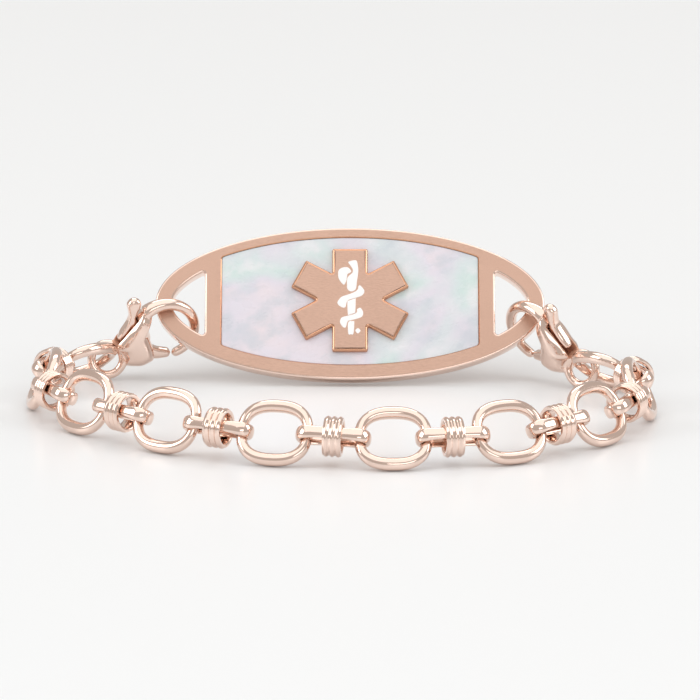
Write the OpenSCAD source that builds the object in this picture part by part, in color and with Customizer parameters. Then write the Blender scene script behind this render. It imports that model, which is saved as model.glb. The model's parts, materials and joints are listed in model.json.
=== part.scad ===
// Medical alert bracelet: an oval plaque with a shell inlay and a raised
// six-armed star, held between two lobster clasps on a chain of oval links
// that are joined by flat straps, each one bound by a ridged collar.
// The bracelet stands on its edge on the floor, with the plaque at the back.

/* [Plaque] */
// Length of the plaque from tip to tip
plaque_l = 44.5; // [38:0.5:52]
// Height of the plaque across its middle
plaque_h = 18.2; // [16:0.1:21]
// Thickness of the plaque
plaque_t = 1.75; // [1.6:0.05:2.4]
// Lean of the plaque backwards from upright, in degrees
plaque_lean = 31; // [20:0.5:40]
// Place of the plaque's middle along the bracelet's length
plaque_x = 1.02; // [-2:0.05:2]
// Place of the plaque's lower edge behind the middle of the bracelet
plaque_y = 13.9; // [13:0.05:18]
// Width of the rim round the strap slots
slot_rim_w = 1.9; // [1.7:0.05:2.1]
// Width of the bar between the inlay and a slot
bar_w = 1.9; // [1.5:0.1:2.4]
// Radius of a slot's corners
slot_corner_r = 0.8; // [0.4:0.1:1.1]
// Half length of the inlay
inlay_half_l = 14.7; // [12:0.1:15]
// Width of the rim above and below the inlay
inlay_rim_w = 1.45; // [1:0.05:2]
// How far the inlay sits above the plaque's middle
inlay_rise = 0.3; // [0:0.05:0.4]
// Depth of the pocket that holds the inlay
pocket_d = 0.8; // [0.5:0.05:1]
// Thickness of the shell inlay
inlay_t = 0.62; // [0.4:0.02:0.7]

/* [Emblem] */
// Length of the star's upright bar from end to end
star_l = 12.3; // [10:0.1:13.5]
// Width of the star's upright bar
star_bar_w = 4.05; // [3.4:0.05:4.6]
// Length of the star's two sloping bars from end to end
star_side_l = 13.1; // [10:0.1:14]
// Width of the star's sloping bars
star_side_w = 3.65; // [3.2:0.05:4.4]
// Thickness of the star
star_t = 0.6; // [0.4:0.05:0.9]
// Depth of the enamel in the star
enamel_t = 0.25; // [0.15:0.05:0.3]
// Length of the staff
staff_l = 8.8; // [7.5:0.1:9.4]
// Width of the staff at its top
staff_w = 1.1; // [0.8:0.05:1.4]
// Width of the serpent's body
serpent_w = 0.95; // [0.7:0.05:1.1]
// Reach of the serpent's coils to each side
serpent_reach = 1.05; // [0.8:0.05:1.2]

/* [Chain] */
// Outer length of an oval link
oval_l = 8.35; // [7.6:0.05:9.4]
// Outer height of an oval link
oval_h = 7.4; // [6.6:0.1:8.2]
// Diameter of an oval link's wire at its ends
oval_wire_d = 1.15; // [1:0.05:1.2]
// Diameter of the wire along an oval link's sides
oval_side_d = 1.3; // [1.25:0.05:1.4]
// Radius of an oval link's ends, along its wire
oval_end_r = 2.4; // [2:0.1:2.6]
// Outer length of a strap
strap_l = 8.16; // [7.4:0.1:9]
// Outer depth of a strap
strap_d = 2.95; // [2.6:0.05:3]
// Thickness of a strap's band
strap_t = 0.42; // [0.3:0.02:0.45]
// Width of a strap's band
strap_w = 1.4; // [1.1:0.05:1.6]
// Length of a collar
collar_l = 2; // [1.4:0.1:2.8]
// Wall of a collar under its grooves
collar_wall = 0.36; // [0.3:0.02:0.6]
// Height of a collar's ridges
collar_ridge = 0.16; // [0.08:0.02:0.25]

/* [Clasps] */
// Length of a clasp from its eye to the end of its hook
clasp_l = 13.5; // [12.8:0.1:14.5]
// Diameter of the hook's wire
hook_wire_d = 1.25; // [1.1:0.05:1.4]
// Radius of the hook, along its wire
hook_r = 3.35; // [3.1:0.05:3.5]
// Thickness of a clasp's body at its middle
clasp_t = 3.8; // [3.4:0.1:4.2]
// Radius of a clasp's eye, outside
eye_r = 2; // [1.9:0.05:2.1]
// Diameter of the wire of a clasp's eye
eye_wire_d = 0.7; // [0.6:0.05:0.8]
// Twist of a clasp's eye out of the clasp's own plane, in degrees
eye_twist = 32; // [25:1:40]
// Thickness of a clasp's lever
lever_t = 1.4; // [1.1:0.05:1.5]
// Width of the lever's thumb knob
knob_w = 1.8; // [1.5:0.1:2.4]
// Diameter of the pin that the lever turns on
pin_d = 0.8; // [0.6:0.05:1]

/* [Fits] */
// Clearance between pieces that lie side by side
side_gap = 0.04; // [0.03:0.01:0.08]
// Clearance between a link's wire and the strap round it
link_gap = 0.3; // [0.25:0.01:0.35]
// The same clearance where the chain bends most, in the straps near a clasp
bend_link_gap = 0.55; // [0.45:0.01:0.65]
// The same clearance at the strap next to a clasp
end_link_gap = 0.6; // [0.5:0.01:0.7]
// Clearance on each side of a clasp's lever
lever_gap = 0.1; // [0.08:0.01:0.15]

/* [Hidden] */
$fn = 48;

ROSE = "#dfb7a0";
SATIN = "#cf9f86";
PEARL = "#eef0f2";
ENAMEL = "white";

// Route of the chain from the left clasp to the right one: the heading of
// each link and strap in turn, seen from above, in degrees from +X
HEADINGS = [-129.1, -109.9, -86.4, -60.7, -47.6, -40.7, -33.0, -22.7, -13.6, -6.9,
            -0.1, 9.9, 23.2, 36.8, 48.6, 61.9, 82.8, 105.5, 128.2];
// Lean of each oval link towards the middle of the bracelet, in degrees
// (the two at the clasps hang in the eyes, and lean most)
LEANS = [52, 27.4, 27, 27, 32, 39, 36, 31, 26.9, 51.7];
// Slope of the first and the last link, down to the clasps, in degrees
END_SLOPES = [7.7, 7.8];
// Where the wires of these links run through the eyes, off the eyes' middles
LEFT_SEAT = [-0.32, 0.58, -0.2];
RIGHT_SEAT = [0.275, -0.12, 0.066];
OVALS = len(LEANS);

// Where a clasp hooks on, round the plaque's rim from its tip, in degrees
LEFT_HOOK_AT = 17.5;
RIGHT_HOOK_AT = 19.5;
// How far the rim lies off the middle of each hook, in the clasp's own frame
LEFT_OFF = [0.85, 0.5];
RIGHT_OFF = [0.95, 0.4];
// Turn of each clasp: its yaw, pitch and roll in degrees
LEFT_TURN = [7, 22, 20];
RIGHT_TURN = [38, 22, 22];

function unit(v) = v / norm(v);
function flat(v) = [v[0], v[1]];
function total(list, i = 0) = i == len(list) ? 0 * list[0] : i == len(list) - 1
    ? list[i] : list[i] + total(list, i + 1);

// Moves what is drawn at the origin to a place with its own x and y axes
module put(at, x_axis, y_axis) {
    z_axis = cross(x_axis, y_axis);
    multmatrix([for (k = [0:2]) [x_axis[k], y_axis[k], z_axis[k], at[k]]])
        children();
}

// Rounds the corners of a polygon with arcs of the radius given for each
function corner_arc(before, at, after, r, n = 6) =
    let (u = unit(before - at), v = unit(after - at),
         half = acos(max(-1, min(1, u * v))) / 2,
         reach = min(r / tan(half), 0.49 * min(norm(before - at), norm(after - at))),
         radius = reach * tan(half),
         middle = at + unit(u + v) * radius / sin(half),
         start = at + u * reach - middle,
         side = cross([u[0], u[1], 0], [v[0], v[1], 0])[2] > 0 ? -1 : 1,
         sweep = (180 - 2 * half) * side)
    [for (k = [0:n]) middle + [start[0] * cos(sweep * k / n) - start[1] * sin(sweep * k / n),
                               start[0] * sin(sweep * k / n) + start[1] * cos(sweep * k / n)]];
function rounded(points, radii) = let (n = len(points)) [for (i = [0:n - 1])
    each radii[i] > 0
        ? corner_arc(points[(i + n - 1) % n], points[i], points[(i + 1) % n], radii[i])
        : [points[i]]];

// Plaque: sizes
half_l = plaque_l / 2;
half_h = plaque_h / 2;
slot_x = inlay_half_l + bar_w;
// A point of the curve that runs parallel to the plaque's outline, inside it
function rim_point(a, inset) =
    let (p = [half_l * cos(a), half_h * sin(a)],
         out = unit([cos(a) / half_l, sin(a) / half_h]))
    p - out * inset;
plaque_outline = [for (k = [0:95]) rim_point(k * 360 / 96, 0)];
// Angle at which the parallel curve crosses the upright line at x
function crossing(x, inset, low = 0, high = 90, n = 30) =
    n == 0 ? (low + high) / 2
    : let (mid = (low + high) / 2)
      rim_point(mid, inset)[0] > x ? crossing(x, inset, mid, high, n - 1)
                                   : crossing(x, inset, low, mid, n - 1);
slot_a = crossing(slot_x, slot_rim_w);
slot_corner = rim_point(slot_a, slot_rim_w);
slot_outline = concat(
    corner_arc(rim_point(-slot_a * 0.7, slot_rim_w), [slot_x, -slot_corner[1]],
               [slot_x, slot_corner[1]], slot_corner_r * 0.8),
    corner_arc([slot_x, -slot_corner[1]], [slot_x, slot_corner[1]],
               rim_point(slot_a * 0.7, slot_rim_w), slot_corner_r * 0.8),
    [for (k = [6:-1:-6]) rim_point(k * slot_a * 0.7 / 6, slot_rim_w)]);
inlay_a = crossing(inlay_half_l, inlay_rim_w);
// Outline of the inlay, drawn in by a gap
function inlay_outline(gap) =
    let (upper = [for (k = [0:20]) rim_point(inlay_a + (180 - 2 * inlay_a) * k / 20,
                                             inlay_rim_w + gap)],
         inner = [for (p = upper) [max(-inlay_half_l + gap, min(inlay_half_l - gap, p[0])), p[1]]])
    [for (p = concat(inner, [for (q = inner) -q])) p + [0, inlay_rise]];

// The plaque stands on its lower edge, so its face starts at this height
plaque_up = [0, sin(plaque_lean), cos(plaque_lean)];
plaque_out = [0, -cos(plaque_lean), sin(plaque_lean)];
plaque_mid = [plaque_x, plaque_y, 0] + plaque_up * half_h
    + [0, 0, plaque_t / 2 * sin(plaque_lean)];
module on_plaque() put(plaque_mid, [1, 0, 0], plaque_up) children();
face_z = plaque_t / 2;
inlay_z = face_z - pocket_d + 0.02;
star_z = inlay_z + inlay_t + 0.02;

module plaque() {
    color(SATIN) on_plaque() difference() {
        translate([0, 0, -plaque_t / 2]) linear_extrude(plaque_t) polygon(plaque_outline);
        translate([0, 0, face_z - pocket_d]) linear_extrude(pocket_d + 1)
            polygon(inlay_outline(0));
        for (side = [0, 1]) mirror([side, 0, 0])
            translate([0, 0, -plaque_t]) linear_extrude(2 * plaque_t) polygon(slot_outline);
    }
}

module pearl_inlay() {
    color(PEARL) on_plaque() translate([0, 0, inlay_z]) linear_extrude(inlay_t)
        polygon(inlay_outline(side_gap));
}

// Slope of the star's side bars from upright, in degrees
STAR_TURN = 61.7;

// The serpent crosses the staff in three sloping coils, one below another
coil_rise = staff_l * 0.3;
coil_tops = [0.44, 0.17, -0.1] * staff_l;
module coil(top, grow) {
    n = 14;
    middle = [for (k = [0:n]) [serpent_reach * cos(180 * k / n), top - coil_rise * k / n]];
    across = [for (k = [0:n]) unit([coil_rise / n,
        -serpent_reach * PI / n * sin(180 * k / n)])];
    half = [for (k = [0:n]) serpent_w / 2 * (0.72 + 0.28 * sin(180 * k / n)) + grow];
    end_cap = [for (a = [165:-15:15]) [cos(a), sin(a)]];
    polygon(concat([for (k = [0:n]) middle[k] + across[k] * half[k]],
                   [for (c = end_cap) middle[n] - c * half[n]],
                   [for (k = [n:-1:0]) middle[k] - across[k] * half[k]],
                   [for (c = end_cap) middle[0] + c * half[0]]));
}
module staff_figure(grow = 0) {
    foot_w = staff_w * 0.55;
    polygon([[-staff_w / 2 - grow, staff_l / 2 + grow], [staff_w / 2 + grow, staff_l / 2 + grow],
             [foot_w / 2 + grow, -staff_l / 2 - grow], [-foot_w / 2 - grow, -staff_l / 2 - grow]]);
    for (top = coil_tops) coil(top, grow);
}

module star_emblem() {
    color(SATIN) on_plaque() translate([0, inlay_rise, star_z]) difference() {
        for (bar = [[0, star_bar_w, star_l], [-STAR_TURN, star_side_w, star_side_l],
                    [STAR_TURN, star_side_w, star_side_l]])
            rotate(bar[0]) translate([-bar[1] / 2, -bar[2] / 2, 0]) cube([bar[1], bar[2], star_t]);
        translate([0, 0, star_t - enamel_t]) linear_extrude(enamel_t + 1)
            staff_figure(0.02);
    }
}

module staff_and_serpent() {
    color(ENAMEL) on_plaque() translate([0, inlay_rise, star_z + star_t - enamel_t + 0.02])
        linear_extrude(enamel_t) staff_figure();
}

// Clasp: its own frame has x from the eye to the hook and y on the lever's side
eye_at = [eye_r, 0];
hook_at = [clasp_l - hook_r - hook_wire_d / 2, 0.6];
pin_at = [hook_at[0] - 3.35, 0.5];
slot_w = lever_t + 2 * lever_gap;
// Angle of the hook's root and mouth round its centre
root_a = 140;
mouth_a = -102;
mouth_r = norm(hook_at + hook_r * [cos(mouth_a), sin(mouth_a)] - pin_at);
body_outline = rounded([
    eye_at + [1.4, 1.2], eye_at + [2.2, 1.85], hook_at + [-2.4, 3.2], hook_at + [-1.2, 3.75],
    hook_at + [-0.8, 2.8], hook_at + [-1.85, 1.5], hook_at + [-2.1, -1.3],
    hook_at + [-2.5, -2.8], eye_at + [3.4, -2.4], eye_at + [2.2, -1.75], eye_at + [1.4, -1.2]],
    [0.2, 1, 1, 0.3, 0.5, 1.5, 2, 0.5, 1.5, 1, 0.2]);
lever_outline = rounded([
    pin_at + [-1.95, 1.9], hook_at + [-3.3, 3.5], hook_at + [-2.9, 4.8], hook_at + [-2.2, 5.6],
    hook_at + [-1.1, 5.5], hook_at + [-0.8, 4.7], hook_at + [-2.1, 4.0],
    hook_at + [-2.45, 2.4], pin_at + [0.75, 0.6], pin_at + [1.0, -1.1],
    hook_at + [-1.9, -1.75], hook_at + [0.6, -2.7], hook_at + [-0.2, -4.2],
    hook_at + [-2.4, -2.95], pin_at + [-0.3, -1.7], pin_at + [-0.85, -0.3],
    pin_at + [-0.85, 0.7], pin_at + [-1.8, 1.25]],
    [0.3, 0.3, 0.7, 0.6, 0.5, 0.3, 0.3, 0.4, 0.6, 0.5, 0.5, 0, 0, 0.8, 0.6, 0.6, 0.5, 0.2]);
cavity_outline = [
    pin_at + [-2.9, 0.6], pin_at + [-2.9, 4], hook_at + [-2.2, 6.6], hook_at + [-2.2, 2.3],
    hook_at + [-2.35, 1.6], hook_at + [-2.35, 0.1], hook_at + [0, 0.1],
    hook_at + [0, -4.6], hook_at + [-2.9, -4.6], pin_at + [0, -2.1], pin_at + [-1.6, -1.3]];
// The knob is the part of the lever that rises clear of the body
knob_from = hook_at[1] + 4.15;

module clasp_body() {
    lens_r = 8.5;
    lens_at = pin_at + [0.2, 0.3];
    eye_wire_r = eye_wire_d / 2;
    // Depth to which the eye's wire runs into the cheeks
    eye_root = 0.15;
    difference() {
        union() {
            difference() {
                intersection() {
                    translate([0, 0, -clasp_t / 2]) linear_extrude(clasp_t) polygon(body_outline);
                    translate([lens_at[0], lens_at[1], clasp_t / 2 - lens_r]) sphere(lens_r);
                    translate([lens_at[0], lens_at[1], lens_r - clasp_t / 2]) sphere(lens_r);
                }
                translate([eye_at[0], eye_at[1], 0]) sphere(eye_r - eye_root);
                translate([0, 0, -slot_w / 2]) linear_extrude(slot_w) polygon(cavity_outline);
            }
            translate([eye_at[0], eye_at[1], 0]) rotate([-eye_twist, 0, 0]) rotate_extrude()
                translate([eye_r - eye_wire_r, 0]) circle(eye_wire_r, $fn = 24);
            difference() {
                translate([hook_at[0], hook_at[1], 0]) rotate(mouth_a)
                    rotate_extrude(angle = root_a - mouth_a)
                        translate([hook_r, 0]) circle(d = hook_wire_d, $fn = 24);
                pin_hole(mouth_r + side_gap);
            }
        }
        pin_hole(pin_d / 2 + side_gap);
    }
}

module pin_hole(r) translate([pin_at[0], pin_at[1], -clasp_t]) cylinder(h = 2 * clasp_t, r = r);

module clasp_lever() {
    difference() {
        intersection() {
            union() {
                translate([0, 0, -lever_t / 2]) linear_extrude(lever_t) polygon(lever_outline);
                intersection() {
                    translate([0, 0, -knob_w / 2]) linear_extrude(knob_w) polygon(lever_outline);
                    translate([0, knob_from, -knob_w]) cube([clasp_l, clasp_l, 2 * knob_w]);
                }
            }
            union() {
                pin_hole(mouth_r - side_gap);
                translate([0, pin_at[1], -clasp_t]) cube([clasp_l, clasp_l, 2 * clasp_t]);
            }
        }
        pin_hole(pin_d / 2 + side_gap);
    }
}

module clasp_pin() {
    pin_l = clasp_t - 0.1;
    translate([pin_at[0], pin_at[1], -pin_l / 2]) cylinder(h = pin_l, d = pin_d);
}

// Turns a vector from the clasp's frame by its yaw, pitch and roll
function turned(v, turn) =
    let (a = [v[0], -v[2], v[1]],
         b = [a[0], a[1] * cos(turn[2]) - a[2] * sin(turn[2]),
              a[1] * sin(turn[2]) + a[2] * cos(turn[2])],
         c = [b[0] * cos(turn[1]) - b[2] * sin(turn[1]), b[1],
              b[0] * sin(turn[1]) + b[2] * cos(turn[1])])
    [c[0] * cos(turn[0]) - c[1] * sin(turn[0]), c[0] * sin(turn[0]) + c[1] * cos(turn[0]), c[2]];
// Origin of a clasp on the left side that hooks on at angle a of the rim, with
// the rim's middle off the middle of its hook by the amount given
function clasp_origin(a, turn, off) =
    let (p = rim_point(-a, slot_rim_w / 2))
    plaque_mid - [plaque_x + p[0], 0, 0] + plaque_up * p[1]
        - turned([hook_at[0] + off[0], hook_at[1] + off[1], 0], turn);
function eye_point(a, turn, off) =
    clasp_origin(a, turn, off) + turned([eye_at[0], eye_at[1], 0], turn);
module on_left() {
    translate([plaque_x, 0, 0]) put(clasp_origin(LEFT_HOOK_AT, LEFT_TURN, LEFT_OFF),
        turned([1, 0, 0], LEFT_TURN), turned([0, 1, 0], LEFT_TURN)) children();
}
module on_right() {
    translate([plaque_x, 0, 0]) mirror([1, 0, 0]) put(clasp_origin(RIGHT_HOOK_AT, RIGHT_TURN, RIGHT_OFF),
        turned([1, 0, 0], RIGHT_TURN), turned([0, 1, 0], RIGHT_TURN)) children();
}
left_eye = eye_point(LEFT_HOOK_AT, LEFT_TURN, LEFT_OFF) + [plaque_x, 0, 0];
right_eye = let (p = eye_point(RIGHT_HOOK_AT, RIGHT_TURN, RIGHT_OFF)) [plaque_x - p[0], p[1], p[2]];

module left_clasp_body() { color(ROSE) on_left() clasp_body(); }
module left_clasp_lever() { color(ROSE) on_left() clasp_lever(); }
module left_clasp_pin() { color(SATIN) on_left() clasp_pin(); }
module right_clasp_body() { color(ROSE) on_right() clasp_body(); }
module right_clasp_lever() { color(ROSE) on_right() clasp_lever(); }
module right_clasp_pin() { color(SATIN) on_right() clasp_pin(); }

// Chain: each link steps from the middle of one end's wire to the other's
half_a = (oval_l - oval_wire_d) / 2;
half_b = (oval_h - oval_side_d) / 2;
LAST = OVALS - 1;
function slope(i) = i == 0 ? END_SLOPES[0] : i == LAST ? -END_SLOPES[1] : 0;
// Height of the middle of a link's wire at its start and its end
function start_z(i) = i == 0 ? left_start[2] : i == LAST ? right_end[2] - 2 * half_a * sin(slope(i))
    : half_b * cos(LEANS[i]) + oval_side_d / 2;
function end_z(i) = start_z(i) + 2 * half_a * sin(slope(i));
function strap_gap(i) = i == 0 || i == LAST - 1 ? end_link_gap
    : i <= 2 || i >= LAST - 3 ? bend_link_gap : link_gap;
function strap_run(i) = let (l = strap_l - 2 * strap_t - oval_wire_d - 2 * strap_gap(i),
                             up = start_z(i + 1) - end_z(i)) sqrt(l * l - up * up);
left_start = left_eye + LEFT_SEAT;
right_end = right_eye + RIGHT_SEAT;
steps = [for (i = [0:2 * LAST]) i % 2 == 0 ? 2 * half_a * cos(slope(i / 2)) : strap_run((i - 1) / 2)];
// The headings swing a little, least at the clasps, so that the chain closes
function swing(i, waves) = sin(90 * waves * i / LAST);
function heading(i, fit) = HEADINGS[i] + fit[0] * swing(i, 1) + fit[1] * swing(i, 2);
function reach(fit) = total([for (i = [0:len(steps) - 1])
    steps[i] * [cos(heading(i, fit)), sin(heading(i, fit))]]);
function slide(fit, waves) = PI / 180 * total([for (i = [0:len(steps) - 1])
    steps[i] * swing(i, waves) * [-sin(heading(i, fit)), cos(heading(i, fit))]]);
function closed(fit, n) = n == 0 ? fit
    : let (miss = reach(fit) - flat(right_end - left_start),
           s = slide(fit, 1), b = slide(fit, 2), det = s[0] * b[1] - s[1] * b[0])
      closed(fit - [(miss[0] * b[1] - miss[1] * b[0]) / det,
                    (s[0] * miss[1] - s[1] * miss[0]) / det], n - 1);
fit = closed([0, 0], 8);
// Direction of step i, seen from above, and where it starts
function course(i) = [cos(heading(i, fit)), sin(heading(i, fit))];
function start(i) = i == 0 ? flat(left_start) : start(i - 1) + steps[i - 1] * course(i - 1);

// The axes of oval link i and the places of its ends
function along(i) = let (c = course(2 * i) * cos(slope(i))) [c[0], c[1], sin(slope(i))];
function upward(i) = let (x = along(i), c = course(2 * i), n = [-c[1], c[0], 0])
    n * sin(LEANS[i]) + cross(x, n) * cos(LEANS[i]);
function oval_start(i) = let (p = start(2 * i)) [p[0], p[1], start_z(i)];
function oval_end(i) = oval_start(i) + 2 * half_a * along(i);

// An oval link: four arcs of wire, two round its ends and two along its sides
end_r = min(oval_end_r, 0.85 * half_b);
end_x = half_a - end_r;
side_r = (end_x * end_x + half_b * half_b - end_r * end_r) / (2 * (half_b - end_r));
end_a = atan((side_r - half_b) / end_x);
// (the thinner wire of the ends runs a little way into that of the sides)
end_lap = 3;
module wire_arc(r, from, to, d) {
    rotate(from) rotate_extrude(angle = to - from, $fn = 48)
        translate([r, 0]) circle(d = d, $fn = 20);
}
module oval_link(i) {
    color(ROSE) put((oval_start(i - 1) + oval_end(i - 1)) / 2, along(i - 1), upward(i - 1))
        for (turn = [0, 180]) rotate(turn) {
            translate([end_x, 0])
                wire_arc(end_r, -end_a - end_lap, end_a + end_lap, oval_wire_d);
            translate([0, half_b - side_r])
                wire_arc(side_r, end_a, 180 - end_a, oval_side_d);
        }
}

// A strap goes round the ends of two links, with its band upright between them
function strap_axis(i) = unit(oval_start(i + 1) - oval_end(i));
function strap_upward(i) = let (x = strap_axis(i), u = upward(i) + upward(i + 1))
    unit(u - x * (u * x));
module on_strap(i) {
    x = strap_axis(i);
    put((oval_start(i + 1) + oval_end(i)) / 2, x, -cross(x, strap_upward(i))) children();
}
module stadium(l, d) {
    square([l - d, d], center = true);
    for (side = [-1, 1]) translate([side * (l - d) / 2, 0]) circle(d = d);
}
module strap(i) {
    color(ROSE) on_strap(i - 1) translate([0, 0, -strap_w / 2]) linear_extrude(strap_w)
        difference() {
            stadium(strap_l, strap_d);
            stadium(strap_l - 2 * strap_t, strap_d - 2 * strap_t);
        }
}

bore_r = norm([strap_w, strap_d]) / 2 + side_gap;
collar_r = bore_r + collar_wall;
ridge_l = collar_l / 3 * 0.8;
module collar(i) {
    color(ROSE) on_strap(i - 1) rotate([0, 90, 0]) difference() {
        union() {
            translate([0, 0, -collar_l / 2]) cylinder(h = collar_l, r = collar_r);
            for (k = [-1:1]) translate([0, 0, k * (collar_l - ridge_l) / 2 - ridge_l / 2])
                cylinder(h = ridge_l, r = collar_r + collar_ridge);
        }
        translate([0, 0, -collar_l]) cylinder(h = 2 * collar_l, r = bore_r);
    }
}

plaque();
pearl_inlay();
star_emblem();
staff_and_serpent();
left_clasp_body();
left_clasp_lever();
left_clasp_pin();
right_clasp_body();
right_clasp_lever();
right_clasp_pin();
for (i = [1:10]) oval_link(i);
for (i = [1:9]) strap(i);
for (i = [1:9]) collar(i);
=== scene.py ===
"""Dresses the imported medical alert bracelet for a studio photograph.

Every piece stands where its CAD node does. The chain, the clasps, the plaque and
its inlay are made again with smooth faces, rounded edges and their real finishes.
"""

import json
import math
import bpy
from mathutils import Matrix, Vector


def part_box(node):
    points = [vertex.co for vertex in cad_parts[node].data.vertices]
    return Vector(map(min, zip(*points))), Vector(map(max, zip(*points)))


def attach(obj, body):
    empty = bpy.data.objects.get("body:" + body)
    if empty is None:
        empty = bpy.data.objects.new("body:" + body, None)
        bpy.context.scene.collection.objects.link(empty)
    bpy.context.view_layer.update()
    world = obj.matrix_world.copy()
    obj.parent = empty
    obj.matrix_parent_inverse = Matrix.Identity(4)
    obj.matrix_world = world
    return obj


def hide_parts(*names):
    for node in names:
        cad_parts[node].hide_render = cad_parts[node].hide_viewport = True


bl_info = {
    "name": "Medical Alert Bracelet",
    "version": (1, 0, 0),
    "blender": (4, 5, 0),
    "location": "View3D > Sidebar > Bracelet",
    "description": "Dresses the bracelet's frame with polished, satin, shell and enamel pieces",
    "category": "Object",
}

import bmesh
import bpy
import numpy as np
from mathutils import Matrix, Vector

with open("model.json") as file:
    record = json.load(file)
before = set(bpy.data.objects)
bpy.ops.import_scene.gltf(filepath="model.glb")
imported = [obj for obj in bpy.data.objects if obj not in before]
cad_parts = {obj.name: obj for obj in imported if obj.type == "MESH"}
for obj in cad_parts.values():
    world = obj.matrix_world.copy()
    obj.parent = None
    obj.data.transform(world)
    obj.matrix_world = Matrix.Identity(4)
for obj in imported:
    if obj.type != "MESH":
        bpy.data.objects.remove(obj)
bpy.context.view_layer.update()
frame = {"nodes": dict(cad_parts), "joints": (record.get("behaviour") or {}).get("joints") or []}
NODES = frame["nodes"]

MM = 0.001
OVALS = [f"oval_link_{i}" for i in range(1, 11)]
STRAPS = [f"strap_{i}" for i in range(1, 10)]
COLLARS = [f"collar_{i}" for i in range(1, 10)]


# Where the pieces lie, read from the frame


def surface(node):
    """Middle and area of each triangle of a node's CAD mesh, in metres."""
    mesh = NODES[node].data
    mesh.calc_loop_triangles()
    corners = np.array([v.co for v in mesh.vertices])[
        np.array([t.vertices for t in mesh.loop_triangles])
    ]
    area = np.linalg.norm(
        np.cross(corners[:, 1] - corners[:, 0], corners[:, 2] - corners[:, 0]), axis=1
    )
    return corners.mean(axis=1), area


def lie_of(node):
    """Placement of a node that is symmetrical about its own three planes.

    Its X axis runs along the node's longest way and its Z axis along the shortest.
    """
    middles, area = surface(node)
    centre = (middles * area[:, None]).sum(axis=0) / area.sum()
    spread = middles - centre
    _, axes = np.linalg.eigh((spread * area[:, None]).T @ spread)
    x_axis, y_axis = Vector(axes[:, 2]), Vector(axes[:, 1])
    # One look for all: X to the right as seen from the front, Y upwards
    if x_axis.x < 0:
        x_axis = -x_axis
    if y_axis.z < 0:
        y_axis = -y_axis
    return placement(Vector(centre), x_axis, y_axis)


def placement(origin, x_axis, y_axis):
    """Matrix with the given origin and axes, from a frame in millimetres."""
    z_axis = x_axis.cross(y_axis).normalized()
    turn = Matrix((x_axis, y_axis, z_axis)).transposed().to_4x4()
    return Matrix.Translation(origin) @ turn @ Matrix.Scale(MM, 4)


def clasp_axes(yaw, pitch, roll):
    """X and Y axes of a clasp on the left side, from its yaw, pitch and roll."""
    turn = (
        Matrix.Rotation(yaw, 3, "Z")
        @ Matrix.Rotation(-pitch, 3, "Y")
        @ Matrix.Rotation(roll, 3, "X")
    )
    return turn @ Vector((1, 0, 0)), turn @ Vector((0, 0, 1))


# Sizes and finishes


def length(name, what, default):
    return bpy.props.FloatProperty(name=name, description=what, default=default, min=0)


def angle_size(name, what, degrees):
    return bpy.props.FloatProperty(
        name=name, description=what, default=math.radians(degrees), subtype="ANGLE"
    )


def turn_size(name, what, degrees):
    return bpy.props.FloatVectorProperty(
        name=name, description=what, default=[math.radians(a) for a in degrees], subtype="EULER"
    )


class PlaqueSizes(bpy.types.PropertyGroup):
    """Sizes of the plaque and what lies in it, in millimetres."""

    plaque_l: length("Length", "Length of the plaque from tip to tip", 44.5)
    plaque_h: length("Height", "Height of the plaque across its middle", 18.2)
    plaque_t: length("Thickness", "Thickness of the plaque", 1.75)
    lean: angle_size("Lean", "Lean of the plaque backwards from upright", 31)
    slot_rim: length("Slot rim", "Width of the rim round the strap slots", 1.9)
    bar_w: length("Bar", "Width of the bar between the inlay and a slot", 1.9)
    slot_corner: length("Slot corner", "Radius of a slot's corners", 0.3)
    inlay_half: length("Inlay half length", "Half length of the inlay", 14.7)
    inlay_rim: length("Inlay rim", "Width of the rim above and below the inlay", 1.45)
    inlay_rise: length("Inlay rise", "How far the inlay sits above the plaque's middle", 0.3)
    pocket_d: length("Pocket depth", "Depth of the pocket that holds the inlay", 0.8)
    inlay_t: length("Inlay thickness", "Thickness of the shell inlay", 0.62)
    edge: length("Polished edge", "Width of the polished bevel round the plaque", 0.22)
    star_l: length("Star", "Length of the star's upright bar", 12.3)
    star_bar: length("Star bar", "Width of the star's upright bar", 4.05)
    side_l: length("Side bars", "Length of the star's sloping bars", 13.4)
    side_bar: length("Side bar width", "Width of the star's sloping bars", 3.65)
    side_turn: angle_size("Side bar turn", "Turn of the star's sloping bars from upright", 61.7)
    star_t: length("Star thickness", "Thickness of the star", 0.6)
    star_edge: length("Star edge", "Width of the star's polished bevel", 0.3)
    enamel_d: length("Enamel depth", "Depth of the enamel in the star", 0.25)


class ChainSizes(bpy.types.PropertyGroup):
    """Sizes of the links, straps and collars, in millimetres."""

    oval_l: length("Link length", "Outer length of an oval link", 8.35)
    oval_h: length("Link height", "Outer height of an oval link", 7.4)
    wire_end: length("Wire at the ends", "Diameter of a link's wire at its ends", 1.14)
    wire_side: length("Wire at the sides", "Diameter of a link's wire along its sides", 1.4)
    squareness: length("Squareness", "How square a link is: 2 makes an ellipse", 2.5)
    strap_l: length("Strap length", "Outer length of a strap", 8.16)
    strap_d: length("Strap depth", "Outer depth of a strap", 2.95)
    strap_t: length("Strap thickness", "Thickness of a strap's band", 0.42)
    strap_w: length("Strap width", "Width of a strap's band at its ends", 1.5)
    strap_waist: length("Strap waist", "Width of a strap's band under its collar", 1.26)
    collar_l: length("Collar length", "Length of a collar", 2.0)
    collar_bore: length("Collar bore", "Radius of the hole through a collar", 1.673)
    collar_wall: length("Collar wall", "Wall of a collar under its grooves", 0.36)
    collar_ridge: length("Collar ridge", "Height of a collar's ridges", 0.16)


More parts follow.
